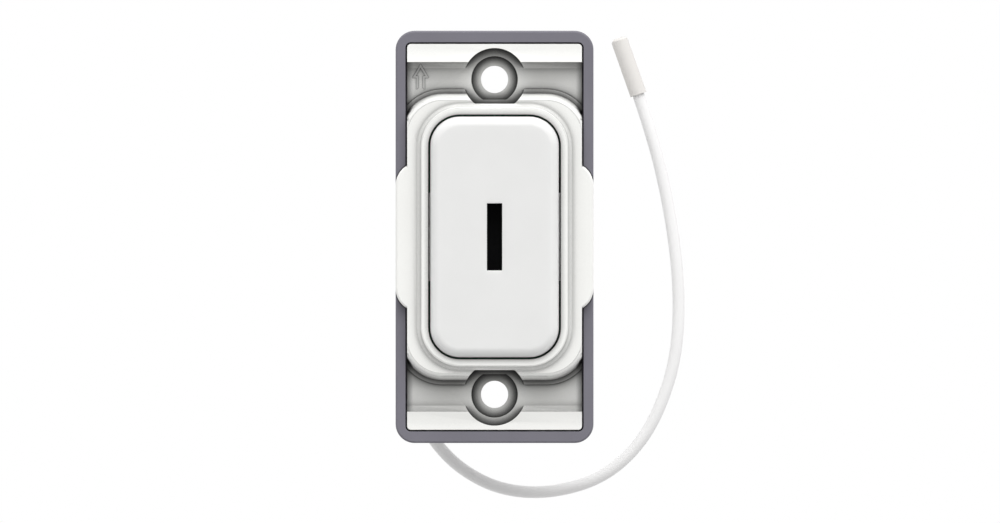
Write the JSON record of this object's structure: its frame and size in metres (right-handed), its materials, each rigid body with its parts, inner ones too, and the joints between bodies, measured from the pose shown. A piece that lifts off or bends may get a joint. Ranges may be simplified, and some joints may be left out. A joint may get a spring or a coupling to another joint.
{
  "type": "wireless light switch",
  "caption": "Wireless grid light switch: grey frame, white front moulding, centre-pivot key rocker that swings a small generator, and a loose aerial wire with an end sleeve.",
  "frame": {"origin": "centre of the rear cover's rear face, which is the base that it lies on", "axes": "+Z out of the rocker face, +Y towards the end with the arrow mark, +X to the right seen from the front"},
  "size_m": [0.035, 0.0566, 0.0203],
  "materials": {
    "white_moulding": "satin moulded thermoplastic, warm white",
    "rocker_moulding": "satin moulded thermoplastic, neutral white",
    "grey_moulding": "fine-grained moulded thermoplastic, mid grey",
    "black_moulding": "moulded thermoplastic, black",
    "natural_moulding": "moulded acetal, natural",
    "soft_iron": "plated soft iron strip",
    "copper_winding": "enamelled copper wire, wound",
    "magnet_alloy": "nickel-plated magnet",
    "spring_steel": "drawn steel wire",
    "board_laminate": "green laminate under lacquer",
    "chip_case": "moulded chip case",
    "ferrite": "ferrite drum",
    "can_metal": "plated can",
    "capacitor_body": "ceramic chip body",
    "tinned_metal": "tinned and soldered metal",
    "wire_jacket": "soft white wire jacket",
    "sleeve_jacket": "white shrink sleeve"
  },
  "bodies": {
    "module": {"front_housing": "white_moulding", "adaptor_frame": "grey_moulding", "rear_cover": "white_moulding", "generator_chassis": "black_moulding", "flux_core": "soft_iron", "coil_bobbin": "black_moulding", "coil_winding": "copper_winding", "bar_magnet": "magnet_alloy", "lever_pin": "spring_steel", "return_spring_upper": "spring_steel", "return_spring_lower": "spring_steel", "circuit_board": "board_laminate", "radio_chip": "chip_case", "crystal": "can_metal", "storage_capacitors": "capacitor_body", "rectifier": "chip_case", "power_inductor": "ferrite", "chip_parts": "capacitor_body", "coil_pins": "tinned_metal", "antenna_joint": "tinned_metal", "antenna_wire": "wire_jacket", "antenna_sleeve": "sleeve_jacket"},
    "rocker": {"rocker": "rocker_moulding", "key_guide": "black_moulding"},
    "lever": {"swing_lever": "natural_moulding", "armature": "soft_iron"}
  },
  "joints": [
    {"name": "rocker_tilt", "type": "hinge", "parent": "module", "child": "rocker", "pos_m": [0, 0, 0.0166], "axis": [1, 0, 0], "range_deg": [-5, 5], "stiffness_Nm_per_rad": 0.4, "deforming": ["return_spring_upper", "return_spring_lower"]},
    {"name": "lever_tilt", "type": "hinge", "parent": "module", "child": "lever", "pos_m": [0, 0, 0.0131], "axis": [1, 0, 0], "range_deg": [-5, 5]}
  ],
  "couplings": [
    {"joint": "lever_tilt", "follows": "rocker_tilt", "ratio": 1}
  ]
}
